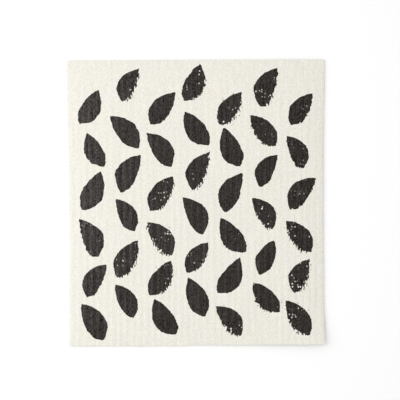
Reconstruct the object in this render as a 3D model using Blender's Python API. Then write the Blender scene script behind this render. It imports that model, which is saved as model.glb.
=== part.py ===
"""A dry cellulose cleaning cloth that lies flat, with its front right corner curled up.

It is one piece: a sheet cut from a roll, with a ribbed top, a plain underside and square cut
edges. The print on it has no thickness, so it isn't modelled here. Units are metres and +Z is
up. The origin is under the middle of the cloth, on the surface that it lies on. The ribs run
along Y, with the back edge at +Y.
"""

import math

import bmesh
import bpy
from mathutils import Vector, noise

# Outline, seen from above. The cloth is widest at its back edge. Each side comes in by the taper
# at the front edge, and draws in by the inset between the ends
WIDTH = 0.1808
LENGTH = 0.200
FRONT_TAPER = 0.001
SIDE_INSET = 0.0008
CORNER_RADIUS = 0.001

# Section across the ribs
CORE_THICKNESS = 0.0016
RIB_PITCH = 0.00465
RIB_HEIGHT = 0.0002

# How uneven the ribs are: the share of its height that a rib can lack, how far it can stray
# sideways, and how wide and how long a patch of the cloth is where the ribs do so together. Each
# layer of the noise gives its own patches
RIB_SHORTFALL = 0.5
RIB_STRAY = 0.0008
PATCH_WIDTH = 0.021
PATCH_LENGTH = 0.047
STRAY_LAYER = 0.5
SHORTFALL_LAYER = 1.5

# The curled corner: how high its tip stands, and how far from the tip the curl starts, measured
# along the front edge and along the right edge
CURL_HEIGHT = 0.003
CURL_ALONG_FRONT = 0.115
CURL_ALONG_SIDE = 0.032

# Fineness of the mesh. The rows lie closer together towards the curled front, by this power
STEPS_PER_RIB = 6
ROW_LENGTH = 0.0145
ROW_CROWDING = 1.35

# Finish of the unprinted cloth
CLOTH_COLOUR = (0.871, 0.855, 0.776, 1.0)
CLOTH_ROUGHNESS = 0.92
SHARP_ANGLE = math.radians(60)


def clear_scene():
    for obj in list(bpy.data.objects):
        bpy.data.objects.remove(obj, do_unlink=True)


def cloth_material():
    material = bpy.data.materials.new("printed_cellulose")
    material.use_nodes = True
    shader = material.node_tree.nodes["Principled BSDF"]
    shader.inputs["Base Color"].default_value = CLOTH_COLOUR
    shader.inputs["Roughness"].default_value = CLOTH_ROUGHNESS
    shader.inputs["Metallic"].default_value = 0.0
    return material


def half_width(along):
    """Half the width, at -1 (front edge) to 1 (back edge)."""
    return WIDTH / 2 - FRONT_TAPER * (1 - along) / 2 - SIDE_INSET * (1 - along * along)


def half_length(across):
    """Half the length, at -1 (left side) to 1 (right side): the corners are rounded."""
    from_side = (1 - abs(across)) * half_width(0)
    short_of_round = max(CORNER_RADIUS - from_side, 0)
    return LENGTH / 2 - CORNER_RADIUS + math.sqrt(CORNER_RADIUS**2 - short_of_round**2)


def unevenness(x, y, layer):
    """A smooth value from -1 to 1 that changes from patch to patch."""
    return noise.noise(Vector((x / PATCH_WIDTH, y / PATCH_LENGTH, layer)))


def stray(across, x, y):
    """How far a rib strays sideways. It is nothing at the two cut sides."""
    return RIB_STRAY * (1 - across * across) * unevenness(x, y, STRAY_LAYER)


def rib_rise(column, x, y):
    """Height of the top above the bottom of the grooves. A groove runs along each cut side."""
    profile = (1 - math.cos(2 * math.pi * column / STEPS_PER_RIB)) / 2
    shortfall = RIB_SHORTFALL * abs(unevenness(x, y, SHORTFALL_LAYER))
    return RIB_HEIGHT * profile * (1 - shortfall)


def curl_lift(x, y):
    """How high the curl lifts a point: the sheet bends evenly from one straight line to the tip."""
    from_tip_along_front = (half_width(-1) - x) / CURL_ALONG_FRONT
    from_tip_along_side = (y + LENGTH / 2) / CURL_ALONG_SIDE
    share = max(1 - from_tip_along_front - from_tip_along_side, 0)
    return CURL_HEIGHT * share * share


def cloth_mesh():
    """A flat grid of unit squares, thickened upwards, with each point then moved to its place."""
    ribs = max(round(2 * half_width(0) / RIB_PITCH), 1)
    columns = ribs * STEPS_PER_RIB
    rows = max(round(LENGTH / ROW_LENGTH), 1)
    sheet = bmesh.new()
    bmesh.ops.create_grid(sheet, x_segments=columns, y_segments=rows, size=1)
    raised = bmesh.ops.extrude_face_region(sheet, geom=sheet.faces[:])
    top = {item for item in raised["geom"] if isinstance(item, bmesh.types.BMVert)}
    for point in sheet.verts:
        across = point.co.x
        along = 2 * ((point.co.y + 1) / 2) ** ROW_CROWDING - 1
        column = round((across + 1) / 2 * columns)
        y = along * half_length(across)
        x = across * half_width(along)
        x += stray(across, x, y)
        z = curl_lift(x, y)
        if point in top:
            z += CORE_THICKNESS + rib_rise(column, x, y)
        point.co = (x, y, z)
    bmesh.ops.recalc_face_normals(sheet, faces=sheet.faces[:])
    mesh = bpy.data.meshes.new("cleaning_cloth")
    sheet.to_mesh(mesh)
    sheet.free()
    mesh.shade_smooth()
    mesh.set_sharp_from_angle(angle=SHARP_ANGLE)
    return mesh


def main():
    clear_scene()
    collection = bpy.data.collections.new("Cleaning cloth")
    bpy.context.scene.collection.children.link(collection)
    cloth = bpy.data.objects.new("cleaning_cloth", cloth_mesh())
    cloth.data.materials.append(cloth_material())
    collection.objects.link(cloth)


main()
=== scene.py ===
"""Looks of a printed cellulose cleaning cloth, laid flat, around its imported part.

The cloth is one ribbed sheet, off-white with a charcoal leaf print, and its front right corner
curls up. Units are metres, +Z is up, and the ribs run along Y. The file is laid out as an add-on:
its panel adds the cloth, and a pale studio with the camera straight above it.
"""

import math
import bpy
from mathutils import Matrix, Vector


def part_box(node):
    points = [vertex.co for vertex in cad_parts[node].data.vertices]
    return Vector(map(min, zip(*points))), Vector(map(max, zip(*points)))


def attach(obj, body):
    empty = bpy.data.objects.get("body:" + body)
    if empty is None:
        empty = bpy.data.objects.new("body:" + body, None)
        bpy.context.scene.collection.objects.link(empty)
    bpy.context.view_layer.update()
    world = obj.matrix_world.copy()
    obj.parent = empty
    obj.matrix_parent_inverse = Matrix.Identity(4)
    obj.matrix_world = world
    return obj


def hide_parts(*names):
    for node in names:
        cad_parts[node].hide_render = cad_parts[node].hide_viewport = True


bl_info = {
    "name": "Printed Cleaning Cloth",
    "version": (1, 0, 0),
    "blender": (4, 5, 0),
    "location": "View3D > Sidebar > Cleaning Cloth",
    "description": "Adds a ribbed cellulose cloth with a leaf print, and a pale studio",
    "category": "Add Mesh",
}

import bpy
import numpy as np
from bpy.props import FloatProperty, FloatVectorProperty, IntProperty, PointerProperty
from mathutils import Vector, noise

CLOTH_NODE = "cleaning_cloth"
CLOTH_SLOT = "printed_cellulose"

# The sheet's map of places as it was cut, and its value that is 1 on the upper face
CUT_MAP = "CutPlace"
UPPER_FACE = "upper_face"

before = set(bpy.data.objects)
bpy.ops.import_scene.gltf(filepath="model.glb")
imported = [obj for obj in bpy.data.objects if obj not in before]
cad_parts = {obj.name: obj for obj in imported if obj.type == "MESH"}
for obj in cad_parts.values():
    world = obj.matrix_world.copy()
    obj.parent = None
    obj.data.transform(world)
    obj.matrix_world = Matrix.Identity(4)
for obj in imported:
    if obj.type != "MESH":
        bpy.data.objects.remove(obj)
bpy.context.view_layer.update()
cloth_low, cloth_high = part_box(CLOTH_NODE)


# Sizes and colours that a user would change


def length_value(name, description, default):
    return FloatProperty(
        name=name, description=description, default=default, unit="LENGTH", precision=5
    )


def share_value(name, description, default):
    return FloatProperty(name=name, description=description, default=default, subtype="FACTOR")


def colour_value(name, description, default):
    return FloatVectorProperty(name=name, description=description, default=default, subtype="COLOR")


def place_value(name, description, default):
    return FloatVectorProperty(
        name=name,
        description=description,
        default=default,
        size=len(default),
        subtype="TRANSLATION",
    )


def angle_value(name, description, degrees):
    return FloatProperty(
        name=name, description=description, default=math.radians(degrees), subtype="ANGLE"
    )


def count_value(name, description, default):
    return IntProperty(name=name, description=description, default=default, min=1)


class ClothSizes(bpy.types.PropertyGroup):
    """Outline, section, ribs and curl of the sheet."""

    width: length_value(
        "Width", "Width of the back edge, the widest place", cloth_high[0] - cloth_low[0]
    )
    length: length_value("Length", "Length along the ribs", cloth_high[1] - cloth_low[1])
    front_taper: length_value("Front Taper", "How far each side comes in at the front edge", 0.001)
    side_inset: length_value("Side Inset", "How far each side draws in between the ends", 0.0010)
    front_draw: length_value(
        "Front Draw", "How far the front edge draws in on its right half", 0.0005
    )
    corner_radius: length_value("Corner Radius", "Rounding of the four cut corners", 0.001)
    arris_radius: length_value(
        "Arris Radius", "Rounding of the cut edges, above and below", 0.0003
    )
    edge_wander: length_value("Edge Wander", "How far the cut edges stray from their line", 0.00015)
    core_thickness: length_value(
        "Core Thickness", "From the underside to the bottom of the grooves", 0.0016
    )
    ribs: count_value("Ribs", "Number of ribs side by side", 38)
    rib_height: length_value("Rib Height", "Height of a full rib above its grooves", 0.000215)
    rib_fade: share_value("Rib Fade", "Share of its height that a rib lacks at the back edge", 0.8)
    rib_shortfall: share_value("Rib Shortfall", "Share of its height that a rib can lack", 0.8)
    rib_stray: length_value("Rib Stray", "How far a rib can stray sideways", 0.0004)
    patch_width: length_value("Patch Width", "Width of a patch whose ribs stray together", 0.021)
    patch_length: length_value("Patch Length", "Length of a patch whose ribs stray together", 0.047)
    streak_height: length_value("Streak Height", "Height of the fine streaks on the ribs", 0.00004)
    streak_width: length_value("Streak Width", "Width of the fine streaks on the ribs", 0.0022)
    streak_length: length_value("Streak Length", "Length of the fine streaks on the ribs", 0.016)
    crinkle_height: length_value(
        "Crinkle Height", "Height of the crinkles that drying leaves", 0.00004
    )
    crinkle_size: length_value("Crinkle Size", "Size of one crinkle", 0.0024)
    edge_press: length_value("Edge Press", "How much thinner the cut left the two sides", 0.0005)
    bow: length_value("Bow", "How far the sheet stands up off the surface inside its edges", 0.0012)
    bow_reach: length_value("Bow Reach", "How far in from an edge the bow comes up", 0.0085)
    edge_roll: length_value("Edge Roll", "How far the top rolls off at each cut edge", 0.00012)
    edge_roll_reach: length_value("Edge Roll Reach", "How far in the roll at an edge fades", 0.0009)
    curl_height: length_value(
        "Curl Height", "How far the tip of the curl stands above where it would lie flat", 0.0028
    )
    curl_along_front: length_value(
        "Curl along Front", "How far from its tip the curl starts along the front edge", 0.115
    )
    curl_along_side: length_value(
        "Curl along Side", "How far from its tip the curl starts along the right edge", 0.034
    )
    steps_per_rib: count_value("Steps per Rib", "Fineness of the mesh across one rib", 8)
    row_length: length_value("Row Length", "Fineness of the mesh along the ribs", 0.0015)
    edge_crowding: share_value(
        "Edge Crowding", "How much closer together the mesh lies towards the cut edges", 0.25
    )


class PrintSizes(bpy.types.PropertyGroup):
    """Leaf print and the colours of cloth and ink."""

    cloth_colour: colour_value("Cloth Colour", "Colour of the bare cloth", (0.758, 0.730, 0.652))
    cool_colour: colour_value("Cool Colour", "Colour of its cooler patches", (0.751, 0.737, 0.673))
    ink_colour: colour_value("Ink Colour", "Colour of the print", (0.0095, 0.0050, 0.0018))
    columns: count_value("Columns", "Leaves across the cloth", 7)
    rows: count_value("Rows", "Leaves along the cloth", 6)
    column_pitch: length_value("Column Pitch", "From one column of leaves to the next", 0.0243)
    row_pitch: length_value("Row Pitch", "From one leaf to the next in its column", 0.0298)
    leaf_length: length_value("Leaf Length", "From the base of a leaf to its tip", 0.0272)
    leaf_width: length_value("Leaf Width", "Width of a leaf at its middle", 0.0136)
    leaf_tilt: angle_value(
        "Leaf Tilt", "How far the leaves lean, to one side and the other by turns", 32
    )


class StudioSizes(bpy.types.PropertyGroup):
    """Floor, lights and camera."""

    floor_colour: colour_value("Floor Colour", "Colour of the floor", (0.92, 0.92, 0.918))
    floor_size: length_value("Floor Size", "Width of the floor", 6.0)
    surround: FloatProperty(
        name="Surround", description="Strength of the even light from all round", default=1.05
    )
    surround_dip: share_value("Surround Dip", "How much dimmer that light is straight above", 0.464)
    low_lamp_power: FloatProperty(
        name="Low Lamp Power", description="Power of the low left lamp, in watts", default=2.66
    )
    low_lamp_size: length_value("Low Lamp Size", "Width of the low lamp", 0.60)
    low_lamp_place: place_value("Low Lamp Place", "Place of the low lamp", (-0.90, 0.10, 0.50))
    high_lamp_power: FloatProperty(
        name="High Lamp Power", description="Power of the high left lamp, in watts", default=1.00
    )
    high_lamp_size: length_value("High Lamp Size", "Width of the high lamp", 0.35)
    high_lamp_place: place_value("High Lamp Place", "Place of the high lamp", (-0.30, 0.05, 0.62))
    camera_height: length_value("Camera Height", "Height of the camera above the floor", 1.2)
    field_width: length_value("Field Width", "Width of floor that the picture takes in", 0.2800)
    camera_place: place_value(
        "Camera Place",
        "What the camera looks straight down on, from the cloth's middle",
        (0.0027, 0.0020),
    )
    camera_turn: angle_value("Camera Turn", "How far the camera is turned about its own axis", -0.3)


# Shader nodes, and formulas that add them


def plug(tree, socket, value):
    """Links a socket to another, to a formula's result, or sets it to a plain value."""
    if isinstance(value, Formula):
        value = value.socket
    if isinstance(value, bpy.types.NodeSocket):
        tree.links.new(value, socket)
    else:
        socket.default_value = value


def add_node(tree, kind, values=None, **settings):
    """A new node. Its settings come by name, and its sockets take values or links by key."""
    made = tree.nodes.new(kind)
    for name, setting in settings.items():
        setattr(made, name, setting)
    for key, value in (values or {}).items():
        plug(tree, made.inputs[key], value)
    return made


class Formula:
    """A number in a shader. Arithmetic on it adds the Math nodes that work it out."""

    def __init__(self, tree, socket):
        self.tree = tree
        self.socket = socket

    def calc(self, operation, *values):
        made = add_node(self.tree, "ShaderNodeMath", dict(enumerate(values)), operation=operation)
        return Formula(self.tree, made.outputs[0])

    def __add__(self, other):
        return self.calc("ADD", self, other)

    def __sub__(self, other):
        return self.calc("SUBTRACT", self, other)

    def __rsub__(self, other):
        return self.calc("SUBTRACT", other, self)

    def __mul__(self, other):
        return self.calc("MULTIPLY", self, other)

    def __truediv__(self, other):
        return self.calc("DIVIDE", self, other)

    def __mod__(self, other):
        return self.calc("FLOORED_MODULO", self, other)

    def __abs__(self):
        return self.calc("ABSOLUTE", self)

    def __floor__(self):
        return self.calc("FLOOR", self)

    def below(self, limit):
        return self.calc("LESS_THAN", self, limit)

    def or_more(self, other):
        return self.calc("MAXIMUM", self, other)


def combine(tree, x, y, z=0.0):
    return add_node(tree, "ShaderNodeCombineXYZ", {"X": x, "Y": y, "Z": z}).outputs[0]


def split(tree, vector):
    """The three numbers of a vector or colour."""
    parts = add_node(tree, "ShaderNodeSeparateXYZ", {"Vector": vector}).outputs
    return [Formula(tree, part) for part in parts]


def vector_calc(tree, operation, *values):
    made = add_node(tree, "ShaderNodeVectorMath", dict(enumerate(values)), operation=operation)
    return made.outputs["Vector"]


def ramp(value, start, end):
    """0 up to start and 1 from end, with a smooth step between them."""
    sockets = {"Value": value, "From Min": start, "From Max": end}
    made = add_node(value.tree, "ShaderNodeMapRange", sockets, interpolation_type="SMOOTHSTEP")
    return Formula(value.tree, made.outputs["Result"])


def swing(tree, place, size, seed, detail=1.0):
    """Noise between about -1 and 1, with features of the width and length given."""
    width, length = size
    scaled = vector_calc(tree, "MULTIPLY", place, (1 / width, 1 / length, 1 / width))
    shifted = vector_calc(tree, "ADD", scaled, (seed, seed, seed))
    sockets = {"Vector": shifted, "Scale": 1.0, "Detail": detail, "Roughness": 0.5}
    grain = Formula(tree, add_node(tree, "ShaderNodeTexNoise", sockets).outputs["Fac"])
    return grain * 2.0 - 1.0


def three_chances(tree, column, row, seed):
    """Three numbers between -0.5 and 0.5 for the leaf in this column and row."""
    chance = add_node(tree, "ShaderNodeTexWhiteNoise", {"Vector": combine(tree, column, row, seed)})
    return split(tree, vector_calc(tree, "SUBTRACT", chance.outputs["Color"], (0.5, 0.5, 0.5)))


# The smallest spot's share of the radius, and how soft a spot's edge is
SMALLEST_SPOT = 0.3
SPOT_SOFTNESS = 0.25


def spots(tree, place, spacing, share, radius):
    """Round spots here and there: 1 inside a spot. Each has a size of its own, up to the radius."""
    sockets = {"Vector": place, "Scale": 1 / spacing}
    cells = add_node(tree, "ShaderNodeTexVoronoi", sockets, voronoi_dimensions="2D")
    pick, size, _ = split(tree, cells.outputs["Color"])
    distance = Formula(tree, cells.outputs["Distance"])
    reach = (size * (1.0 - SMALLEST_SPOT) + SMALLEST_SPOT) * (radius / spacing)
    return ramp(distance / reach, 1.0 + SPOT_SOFTNESS, 1.0 - SPOT_SOFTNESS) * pick.below(share)


def mix_colours(tree, factor, first, second, blend="MIX"):
    """The Mix node has like-named sockets for each kind of data, so they are told by identifier."""
    made = add_node(tree, "ShaderNodeMix", data_type="RGBA", blend_type=blend)
    sockets = {socket.identifier: socket for socket in made.inputs}
    plug(tree, sockets["Factor_Float"], factor)
    plug(tree, sockets["A_Color"], first)
    plug(tree, sockets["B_Color"], second)
    return next(socket for socket in made.outputs if socket.identifier == "Result_Color")


def new_group(name, inputs, outputs):
    """An empty node group with named sockets, its inputs by name, and its output node's sockets."""
    group = bpy.data.node_groups.new(name, "ShaderNodeTree")
    for label, kind in inputs.items():
        group.interface.new_socket(label, in_out="INPUT", socket_type=kind)
    for label in outputs:
        group.interface.new_socket(label, in_out="OUTPUT", socket_type="NodeSocketFloat")
    source = group.nodes.new("NodeGroupInput")
    given = {socket.name: socket for socket in source.outputs if socket.name}
    return group, given, group.nodes.new("NodeGroupOutput").inputs


def place_group(tree, group, values):
    """A group as a node, with its outputs as numbers."""
    made = add_node(tree, "ShaderNodeGroup", values, node_tree=group)
    return {socket.name: Formula(tree, socket) for socket in made.outputs}


# The print


# How unlike each other the leaves are, for they are cut and printed by hand
LEAF_NUDGE_ACROSS = 0.0022
LEAF_NUDGE_ALONG = 0.0030
LEAF_EXTRA_TILT = math.radians(20)
LEAF_STRETCH = 0.16
LEAF_BOW = 0.005
LEAF_FULLNESS = 0.22
LEAF_TIP_RADIUS = 0.0012

# Edges of a leaf: how wide and how deep the hand-cut flats and the fine roughness are, how much a
# dry lower edge frays into bristles, how soft the ink's own edge is, and between which distances
# outside that edge its darker rim comes in
FLAT_SIZE = 0.006
FLAT_DEPTH = 0.0009
ROUGH_SIZE = 0.0014
ROUGH_DEPTH = 0.0004
BRISTLE_WIDTH = 0.0010
BRISTLE_LENGTH = 0.0026
BRISTLE_DEPTH = 0.0036
INK_EDGE = 0.00012
RIM_REACH = (-0.0009, -0.0002)

# A leaf's dryness is a chance from -0.5 to 0.5. Each effect of it comes up between two values
FRINGE_DRYNESS = (-0.35, 0.5)
PINHOLE_DRYNESS = (-0.1, 0.2)
SPECK_DRYNESS = (0.15, 0.3)

# Pinholes that the ink left open, in clusters in the drier leaves, and specks beside them
CLUSTER_SIZE = 0.009
CLUSTER_EDGE = (0.05, 0.35)
PINHOLE_SPACING = 0.0021
PINHOLE_RADIUS = 0.00062
PINHOLE_SHARE = 0.45
SPECK_SPACING = 0.0024
SPECK_RADIUS = 0.0005
SPECK_SHARE = 0.10
SPECK_REACH = 0.0026

# Seeds of the print's chances and noises, so that no two run alike
PLACE_SEED = 3.0
SHAPE_SEED = 11.0
FLAT_SEED = 2.0
ROUGH_SEED = 5.0
OTHER_ROUGH_SEED = 6.0
BRISTLE_SEED = 7.0
CLUSTER_SEED = 9.0


def cell_along(place, pitch, count):
    """Number of the cell that a place is in, the cell's middle, and 1 if it is one of the count."""
    half_count = count / 2.0
    number = math.floor(place / pitch + half_count)
    from_middle = number + 0.5 - half_count
    return number, from_middle * pitch, abs(from_middle).below(half_count)


def leaf_outline(tree, across, along, bend, leaf_length, leaf_width):
    """Distance outside a pointed oval that bends to one side and is fuller at its base."""
    half_length = leaf_length / 2.0 - LEAF_TIP_RADIUS
    half_width = leaf_width / 2.0 - LEAF_TIP_RADIUS
    share = along / half_length
    bowed = (across - bend * LEAF_BOW * share * share) * (share * LEAF_FULLNESS + 1.0)
    arc_radius = (half_length * half_length + half_width * half_width) / (half_width * 2.0)
    arm = combine(tree, abs(bowed) + (arc_radius - half_width), along)
    reach = add_node(tree, "ShaderNodeVectorMath", {0: arm}, operation="LENGTH").outputs["Value"]
    return Formula(tree, reach) - arc_radius - LEAF_TIP_RADIUS


def leaf_print_group():
    """Where the ink lies: leaves in columns that are shifted by turns, cut and printed by hand."""
    number = "NodeSocketFloat"
    labels = ("Columns", "Rows", "Column Pitch", "Row Pitch", "Leaf Length", "Leaf Width", "Tilt")
    inputs = {"Place": "NodeSocketVector", **{label: number for label in labels}}
    tree, given, out = new_group("Leaf Print", inputs, ("Ink", "Rim"))
    place = given["Place"]
    columns, rows, column_pitch, row_pitch, leaf_length, leaf_width, lean = (
        Formula(tree, given[label]) for label in labels
    )
    x, y, _ = split(tree, place)

    # The leaf whose cell the place is in, and how it differs from the others
    column, middle_x, on_columns = cell_along(x, column_pitch, columns)
    shifted_y = y - (column % 2.0 - 0.5) * row_pitch / 2.0
    row, middle_y, on_rows = cell_along(shifted_y, row_pitch, rows)
    nudge_x, nudge_y, extra_tilt = three_chances(tree, column, row, PLACE_SEED)
    bend, stretch, dryness = three_chances(tree, column, row, SHAPE_SEED)
    from_middle = combine(
        tree,
        x - middle_x - nudge_x * LEAF_NUDGE_ACROSS,
        shifted_y - middle_y - nudge_y * LEAF_NUDGE_ALONG,
    )
    side = row % 2.0 * 2.0 - 1.0
    tilt = side * lean + extra_tilt * LEAF_EXTRA_TILT
    sockets = {"Vector": from_middle, "Angle": tilt}
    turned = add_node(tree, "ShaderNodeVectorRotate", sockets, rotation_type="Z_AXIS")
    across, along, _ = split(tree, turned.outputs["Vector"])
    size = stretch * LEAF_STRETCH + 1.0
    outside = leaf_outline(tree, across / size, along / size, bend, leaf_length, leaf_width)

    # Its edge, with a dry fringe on the long side that faces the front
    flats = swing(tree, place, (FLAT_SIZE, FLAT_SIZE), FLAT_SEED) * FLAT_DEPTH
    roughness = swing(tree, place, (ROUGH_SIZE, ROUGH_SIZE), ROUGH_SEED) * ROUGH_DEPTH
    dry = ramp(dryness, *FRINGE_DRYNESS)
    faces_front = ramp(across * side, 0.0, leaf_width / 2.0)
    bristles = swing(tree, place, (BRISTLE_WIDTH, BRISTLE_LENGTH), BRISTLE_SEED) * BRISTLE_DEPTH
    edge = outside + flats + roughness + bristles * faces_front * dry
    leaf = ramp(edge, INK_EDGE, -INK_EDGE)

    # Pinholes in it and specks beside it
    other_roughness = swing(tree, place, (ROUGH_SIZE, ROUGH_SIZE), OTHER_ROUGH_SEED) * ROUGH_DEPTH
    bent_place = vector_calc(tree, "ADD", place, combine(tree, roughness, other_roughness))
    cluster = ramp(swing(tree, place, (CLUSTER_SIZE, CLUSTER_SIZE), CLUSTER_SEED), *CLUSTER_EDGE)
    holes = spots(tree, bent_place, PINHOLE_SPACING, PINHOLE_SHARE, PINHOLE_RADIUS)
    holes = holes * cluster * ramp(dryness, *PINHOLE_DRYNESS)
    specks = spots(tree, bent_place, SPECK_SPACING, SPECK_SHARE, SPECK_RADIUS)
    specks = specks * ramp(outside, SPECK_REACH, SPECK_REACH / 2) * ramp(dryness, *SPECK_DRYNESS)
    ink = (leaf * (1.0 - holes)).or_more(specks)
    plug(tree, out["Ink"], ink * on_columns * on_rows)
    plug(tree, out["Rim"], ramp(edge, *RIM_REACH))
    return tree


# Surface of the dry cellulose, as sizes across and along the ribs, and the seeds of its noises


FIBRE_SIZE = (0.0003, 0.0006)
PORE_SPACING = 0.0008
FINE_STREAK_SIZE = (0.0008, 0.018)
MOTTLE_SIZE = (0.00075, 0.0013)
HUE_SIZE = (0.010, 0.014)
INK_CELL_SIZE = (0.00075, 0.0013)
FIBRE_SEED = 1.0
FINE_STREAK_SEED = 8.0
MOTTLE_SEED = 4.0
HUE_SEED = 10.0
INK_CELL_SEED = 14.0

# Values between which the pores and the cooler patches come up, and how much each pattern counts
PORE_EDGE = (0.15, 0.45)
HUE_EDGE = (-0.5, 0.5)
FIBRE_SHARE = 0.6
PORE_SHARE = 0.4
MOTTLE_SHARE = 0.95
STREAK_SHARE = 0.42
INK_STREAK_SHARE = 0.5


def cellulose_grain_group():
    """Dry cellulose: its relief, its mottle and streaks, its hue, and how thin ink lies on it."""
    tree, given, out = new_group(
        "Cellulose Grain", {"Place": "NodeSocketVector"}, ("Height", "Tone", "Hue", "Ink Film")
    )
    place = given["Place"]
    fibres = swing(tree, place, FIBRE_SIZE, FIBRE_SEED, detail=3.0)
    sockets = {"Vector": place, "Scale": 1 / PORE_SPACING}
    cells = add_node(tree, "ShaderNodeTexVoronoi", sockets, feature="SMOOTH_F1")
    pores = ramp(Formula(tree, cells.outputs["Distance"]), *PORE_EDGE)
    fine_streaks = swing(tree, place, FINE_STREAK_SIZE, FINE_STREAK_SEED, detail=2.0)
    mottle = swing(tree, place, MOTTLE_SIZE, MOTTLE_SEED)
    ink_cells = swing(tree, place, INK_CELL_SIZE, INK_CELL_SEED)
    plug(tree, out["Height"], fibres * FIBRE_SHARE + pores * PORE_SHARE)
    plug(tree, out["Tone"], mottle * MOTTLE_SHARE + fine_streaks * STREAK_SHARE)
    plug(tree, out["Hue"], ramp(swing(tree, place, HUE_SIZE, HUE_SEED), *HUE_EDGE))
    plug(tree, out["Ink Film"], ink_cells + fine_streaks * INK_STREAK_SHARE)
    return tree


# The cloth


# How much the bare cloth and the ink vary, how much darker the ink is at its rim, and the share of
# its colour that its darkest places keep
TONE_SWING = 0.185
INK_SWING = 1.6
RIM_SHARE = 0.15
INK_DARKEST = 0.15

# Gloss of the bare cloth and of the ink, and depth of the fibres and pores
CLOTH_ROUGHNESS = 0.92
INK_ROUGHNESS = 0.50
SPECULAR_LEVEL = 0.05
INK_COAT = 0.45
INK_COAT_IOR = 1.7
INK_COAT_ROUGHNESS = 0.40
GRAIN_DEPTH = 0.00006

# Shares of the thickness between which the ink comes in on the cut edges
INK_SOAK = (0.5, 0.9)


def cloth_material(sizes, look):
    """Matt off-white cellulose, with the ink of the print soaked into its upper face."""
    material = bpy.data.materials.new(CLOTH_SLOT)
    material.use_nodes = True
    tree = material.node_tree
    shader = tree.nodes["Principled BSDF"]

    # The place on the sheet as it was cut, in metres from its middle
    cut_map = add_node(tree, "ShaderNodeUVMap", uv_map=CUT_MAP).outputs["UV"]
    centred = vector_calc(tree, "SUBTRACT", cut_map, (0.5, 0.5, 0.0))
    cut_place = vector_calc(tree, "MULTIPLY", centred, (sizes.width, sizes.length, 0.0))
    object_place = add_node(tree, "ShaderNodeTexCoord").outputs["Object"]
    upper_face = add_node(tree, "ShaderNodeAttribute", attribute_name=UPPER_FACE).outputs["Fac"]
    upper = Formula(tree, upper_face)

    grain = place_group(tree, cellulose_grain_group(), {"Place": object_place})
    leaves = place_group(
        tree,
        leaf_print_group(),
        {
            "Place": cut_place,
            "Columns": look.columns,
            "Rows": look.rows,
            "Column Pitch": look.column_pitch,
            "Row Pitch": look.row_pitch,
            "Leaf Length": look.leaf_length,
            "Leaf Width": look.leaf_width,
            "Tilt": look.leaf_tilt,
        },
    )
    ink = leaves["Ink"] * ramp(upper, *INK_SOAK)

    # Bare cloth, streaked and blotched, and the ink, paler where it lies thin
    hued = mix_colours(tree, grain["Hue"], (*look.cloth_colour, 1.0), (*look.cool_colour, 1.0))
    tone = grain["Tone"] * TONE_SWING + 1.0
    bare = mix_colours(tree, 1.0, hued, combine(tree, tone, tone, tone), blend="MULTIPLY")
    ink_tone = grain["Ink Film"] * INK_SWING + 1.0 - leaves["Rim"] * RIM_SHARE
    ink_tone = ink_tone.or_more(INK_DARKEST)
    ink_shade = combine(tree, ink_tone, ink_tone, ink_tone)
    inked = mix_colours(tree, 1.0, (*look.ink_colour, 1.0), ink_shade, blend="MULTIPLY")
    plug(tree, shader.inputs["Base Color"], mix_colours(tree, ink, bare, inked))
    roughness = ink * (INK_ROUGHNESS - CLOTH_ROUGHNESS) + CLOTH_ROUGHNESS
    plug(tree, shader.inputs["Roughness"], roughness)
    plug(tree, shader.inputs["Coat Weight"], ink * ink_tone * INK_COAT)
    shader.inputs["Coat Roughness"].default_value = INK_COAT_ROUGHNESS
    shader.inputs["Coat IOR"].default_value = INK_COAT_IOR
    shader.inputs["Specular IOR Level"].default_value = SPECULAR_LEVEL
    bump = add_node(tree, "ShaderNodeBump", {"Height": grain["Height"], "Distance": GRAIN_DEPTH})
    plug(tree, shader.inputs["Normal"], bump.outputs["Normal"])
    return material


# How finely a cut edge is rounded, and how sharp an edge has to be for it
ARRIS_SEGMENTS = 3
ARRIS_ANGLE = math.radians(60)


def flat_slab(sizes):
    """A flat slab of the sheet's size, on a fine grid, with its cut edges softened."""
    columns = sizes.ribs * sizes.steps_per_rib
    rows = round(sizes.length / sizes.row_length)
    bpy.ops.mesh.primitive_grid_add(x_subdivisions=columns, y_subdivisions=rows, size=1.0)
    slab = bpy.context.object
    slab.name = "ribbed_cloth"
    slab.data.name = "ribbed_cloth"
    slab.data.uv_layers[0].name = CUT_MAP
    bpy.ops.object.mode_set(mode="EDIT")
    bpy.ops.mesh.select_all(action="SELECT")
    bpy.ops.transform.resize(value=(sizes.width, sizes.length, 1.0))
    upwards = {"value": (0.0, 0.0, sizes.core_thickness)}
    bpy.ops.mesh.extrude_region_move(TRANSFORM_OT_translate=upwards)
    bpy.ops.mesh.select_all(action="SELECT")
    bpy.ops.mesh.normals_make_consistent(inside=False)
    bpy.ops.object.mode_set(mode="OBJECT")
    soften = slab.modifiers.new("soft_arris", "BEVEL")
    soften.width = sizes.arris_radius
    soften.segments = ARRIS_SEGMENTS
    soften.limit_method = "ANGLE"
    soften.angle_limit = ARRIS_ANGLE
    bpy.ops.object.modifier_apply(modifier=soften.name)
    return slab


# Layers of the noise that makes the sheet uneven, so that each effect has patches of its own. The
# first two are the part's
STRAY_LAYER = 0.5
SHORTFALL_LAYER = 1.5
STREAK_LAYER = 2.5
CRINKLE_LAYER = 3.5
WANDER_LAYER = 4.5
UNDERSIDE_LAYER = 5.5

# How long the waves of a cut edge are, and how fast they fade inwards
WANDER_LENGTH = 0.006
WANDER_FADE = 31

# Where the front edge starts to draw in, over what width, and how fast that fades inwards
DRAW_START = -0.014
DRAW_WIDTH = 0.016
DRAW_FADE = 4


def patchy(x, y, width, length, layer):
    """Smooth noise from -1 to 1, in patches of the width and length given."""
    return np.array([noise.noise(Vector((a, b, layer))) for a, b in zip(x / width, y / length)])


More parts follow.
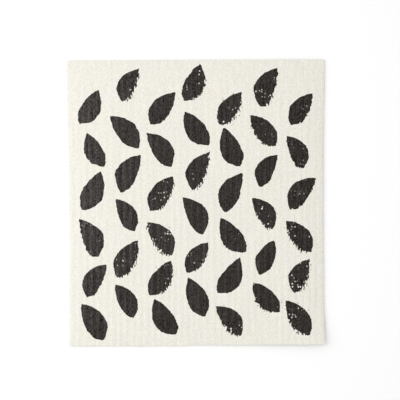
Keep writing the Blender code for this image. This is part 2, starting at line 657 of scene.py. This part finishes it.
def crowded(share, strength):
    """Evenly spaced places from -1 to 1, moved closer together towards both ends."""
    return share + strength * np.sin(math.pi * share) / math.pi


def cut_outline(across, along, sizes):
    """Places of the sheet's points, from their shares of its half width and half length."""
    half_width = sizes.width / 2 - sizes.front_taper * (1 - along) / 2
    half_width -= sizes.side_inset * (1 - along**2)
    from_side = (1 - np.abs(across)) * sizes.width / 2
    lack = np.clip(sizes.corner_radius - from_side, 0, sizes.corner_radius)
    half_length = sizes.length / 2 - sizes.corner_radius + np.sqrt(sizes.corner_radius**2 - lack**2)
    x = across * half_width
    y = along * half_length
    right_half = np.clip((x - DRAW_START) / DRAW_WIDTH, 0, 1)
    y += sizes.front_draw * ((1 - along) / 2) ** DRAW_FADE * right_half
    wander = patchy(x, y, WANDER_LENGTH, WANDER_LENGTH, WANDER_LAYER) * sizes.edge_wander
    return x + wander * across**WANDER_FADE, y + wander * along**WANDER_FADE


def surface_relief(x, y, across, along, sizes):
    """The part's ribs, which fade to the back edge, with finer streaks and crinkles."""
    shortfall = np.abs(patchy(x, y, sizes.patch_width, sizes.patch_length, SHORTFALL_LAYER))
    crest = (1 - np.cos(math.pi * (across + 1) * sizes.ribs)) / 2
    fade = 1 - sizes.rib_fade * ((1 + along) / 2) ** 2
    lack = 1 - (1 - sizes.rib_shortfall * shortfall) * fade
    ribs = sizes.rib_height * crest * (1 - lack)
    streaks = patchy(x, y, sizes.streak_width, sizes.streak_length, STREAK_LAYER)
    crinkles = patchy(x, y, sizes.crinkle_size, sizes.crinkle_size, CRINKLE_LAYER)
    return ribs + streaks * sizes.streak_height + crinkles * sizes.crinkle_height


def curl(x, y, sizes):
    """How far the curl moves each point. The sheet keeps its length, so the tip is drawn in too."""
    front_half_width = sizes.width / 2 - sizes.front_taper
    rise = np.array((1 / sizes.curl_along_front, -1 / sizes.curl_along_side))
    share = 1 + (x - front_half_width) * rise[0] + (y + sizes.length / 2) * rise[1]
    share = np.clip(share, 0, None)
    steepness = np.linalg.norm(rise)

    # The sum, up to each point, of half the slope squared
    drawn_in = 2 / 3 * sizes.curl_height**2 * steepness * share**3
    toward_tip = rise / steepness
    return -drawn_in * toward_tip[0], -drawn_in * toward_tip[1], sizes.curl_height * share**2


def form_sheet(slab, sizes):
    """Moves the slab's points to the sheet's outline, ribs, streaks, crinkles and curl."""
    mesh = slab.data
    points = np.empty(len(mesh.vertices) * 3)
    mesh.vertices.foreach_get("co", points)
    x, y, z = points.reshape(-1, 3).T
    across = crowded(2 * x / sizes.width, sizes.edge_crowding)
    along = crowded(2 * y / sizes.length, sizes.edge_crowding)
    upper = z / sizes.core_thickness
    x, y = cut_outline(across, along, sizes)
    stray = patchy(x, y, sizes.patch_width, sizes.patch_length, STRAY_LAYER)
    x += sizes.rib_stray * (1 - across**2) * stray

    # Section: bowed inside its edges, thinner towards the two sides, rolled off at every cut edge
    from_side = (1 - np.abs(across)) * sizes.width / 2
    from_end = (1 - np.abs(along)) * sizes.length / 2
    side_share = np.exp(-from_side / sizes.bow_reach)
    end_share = np.exp(-from_end / sizes.bow_reach)
    roll_share = np.exp(-np.minimum(from_side, from_end) / sizes.edge_roll_reach)
    bow = sizes.bow * (1 - side_share) * (1 - end_share)
    pressed = sizes.edge_press * side_share + sizes.edge_roll * roll_share
    under = (patchy(x, y, sizes.streak_width, sizes.streak_length, UNDERSIDE_LAYER) + 1) / 2
    above = surface_relief(x, y, across, along, sizes) - pressed
    z = z + bow + upper * above + (1 - upper) * under * sizes.streak_height
    curl_x, curl_y, curl_z = curl(x, y, sizes)
    mesh.vertices.foreach_set("co", np.stack([x + curl_x, y + curl_y, z + curl_z], axis=1).ravel())

    # Where each point lay on the uncurled sheet, for the print, and which face it is on
    corners = np.empty(len(mesh.loops), dtype=np.int32)
    mesh.loops.foreach_get("vertex_index", corners)
    cut_places = np.stack([(across + 1) / 2, (along + 1) / 2], axis=1)
    mesh.uv_layers[CUT_MAP].uv.foreach_set("vector", cut_places[corners].ravel())
    layer = mesh.attributes.new(name=UPPER_FACE, type="FLOAT", domain="POINT")
    layer.data.foreach_set("value", upper)
    mesh.shade_smooth()
    mesh.update()


class CLOTH_OT_add_sheet(bpy.types.Operator):
    """Add the ribbed, printed cloth in place of its plain solid"""

    bl_idname = "cloth.add_sheet"
    bl_label = "Printed Cloth"

    def execute(self, context):
        sizes = context.scene.cloth_sizes
        bpy.ops.object.select_all(action="DESELECT")
        sheet = flat_slab(sizes)
        form_sheet(sheet, sizes)
        sheet.data.materials.append(cloth_material(sizes, context.scene.cloth_print))
        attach(sheet, "root")
        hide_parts(CLOTH_NODE)
        return {"FINISHED"}


# The studio


# How far the floor lies under the cloth, and its finish
FLOOR_DROP = 0.0001
FLOOR_ROUGHNESS = 0.8
FLOOR_SPECULAR = 0.2

# How far up the surround starts to dim, as the height of its direction's tip
DIP_EDGE = 0.55


def floor_material(studio):
    material = bpy.data.materials.new("pale_floor")
    material.use_nodes = True
    shader = material.node_tree.nodes["Principled BSDF"]
    shader.inputs["Base Color"].default_value = (*studio.floor_colour, 1.0)
    shader.inputs["Roughness"].default_value = FLOOR_ROUGHNESS
    shader.inputs["Specular IOR Level"].default_value = FLOOR_SPECULAR
    return material


def add_floor(studio):
    """A pale floor, just under the cloth."""
    bpy.ops.mesh.primitive_plane_add(size=studio.floor_size, location=(0.0, 0.0, -FLOOR_DROP))
    floor = bpy.context.object
    floor.name = "floor"
    floor.data.materials.append(floor_material(studio))


def add_surround(context, studio):
    """Pale light from all round, dimmer straight above, where the camera hangs."""
    world = bpy.data.worlds.new("pale_surround")
    world.use_nodes = True
    tree = world.node_tree
    direction = add_node(tree, "ShaderNodeTexCoord").outputs["Generated"]
    _, _, upward = split(tree, direction)
    overhead = ramp(upward, DIP_EDGE, 1.0)
    background = tree.nodes["Background"]
    background.inputs["Color"].default_value = (1.0, 1.0, 1.0, 1.0)
    strength = (1.0 - overhead * studio.surround_dip) * studio.surround
    plug(tree, background.inputs["Strength"], strength)
    context.scene.world = world


def add_lamp(name, power, size, place):
    """A soft lamp, turned to the cloth."""
    bpy.ops.object.light_add(type="AREA", location=place)
    lamp = bpy.context.object
    lamp.name = name
    lamp.rotation_euler = (-Vector(place)).to_track_quat("-Z", "Y").to_euler()
    lamp.data.energy = power
    lamp.data.size = size
    lamp.visible_camera = False


def add_camera(context, studio):
    """A camera that looks straight down, as the photograph does."""
    place = (*studio.camera_place, studio.camera_height)
    bpy.ops.object.camera_add(location=place, rotation=(0.0, 0.0, studio.camera_turn))
    camera = bpy.context.object
    camera.name = "camera"
    camera.data.lens = camera.data.sensor_width * studio.camera_height / studio.field_width
    context.scene.camera = camera


class CLOTH_OT_add_studio(bpy.types.Operator):
    """Add the pale floor, the soft lights and the camera straight above"""

    bl_idname = "cloth.add_studio"
    bl_label = "Pale Studio"

    def execute(self, context):
        studio = context.scene.cloth_studio
        bpy.ops.object.select_all(action="DESELECT")
        add_floor(studio)
        add_surround(context, studio)
        add_lamp("low_lamp", studio.low_lamp_power, studio.low_lamp_size, studio.low_lamp_place)
        add_lamp("high_lamp", studio.high_lamp_power, studio.high_lamp_size, studio.high_lamp_place)
        add_camera(context, studio)
        context.scene.view_settings.view_transform = "Standard"
        return {"FINISHED"}


# Panel and registration


class CLOTH_PT_panel(bpy.types.Panel):
    """Lists what the add-on makes, in the order it is made"""

    bl_idname = "CLOTH_PT_panel"
    bl_label = "Cleaning Cloth"
    bl_space_type = "VIEW_3D"
    bl_region_type = "UI"
    bl_category = "Cleaning Cloth"

    def draw(self, context):
        scene = context.scene
        for operator in (CLOTH_OT_add_studio, CLOTH_OT_add_sheet):
            self.layout.operator(operator.bl_idname)
        for group in (scene.cloth_sizes, scene.cloth_print, scene.cloth_studio):
            box = self.layout.box()
            for name in group.__annotations__:
                box.prop(group, name)


CLASSES = (
    ClothSizes,
    PrintSizes,
    StudioSizes,
    CLOTH_OT_add_sheet,
    CLOTH_OT_add_studio,
    CLOTH_PT_panel,
)


def register():
    for item in CLASSES:
        bpy.utils.register_class(item)
    bpy.types.Scene.cloth_sizes = PointerProperty(type=ClothSizes)
    bpy.types.Scene.cloth_print = PointerProperty(type=PrintSizes)
    bpy.types.Scene.cloth_studio = PointerProperty(type=StudioSizes)


def unregister():
    del bpy.types.Scene.cloth_sizes
    del bpy.types.Scene.cloth_print
    del bpy.types.Scene.cloth_studio
    for item in reversed(CLASSES):
        bpy.utils.unregister_class(item)


def main():
    register()
    bpy.ops.cloth.add_studio()
    bpy.ops.cloth.add_sheet()


if __name__ == "__main__":
    main()
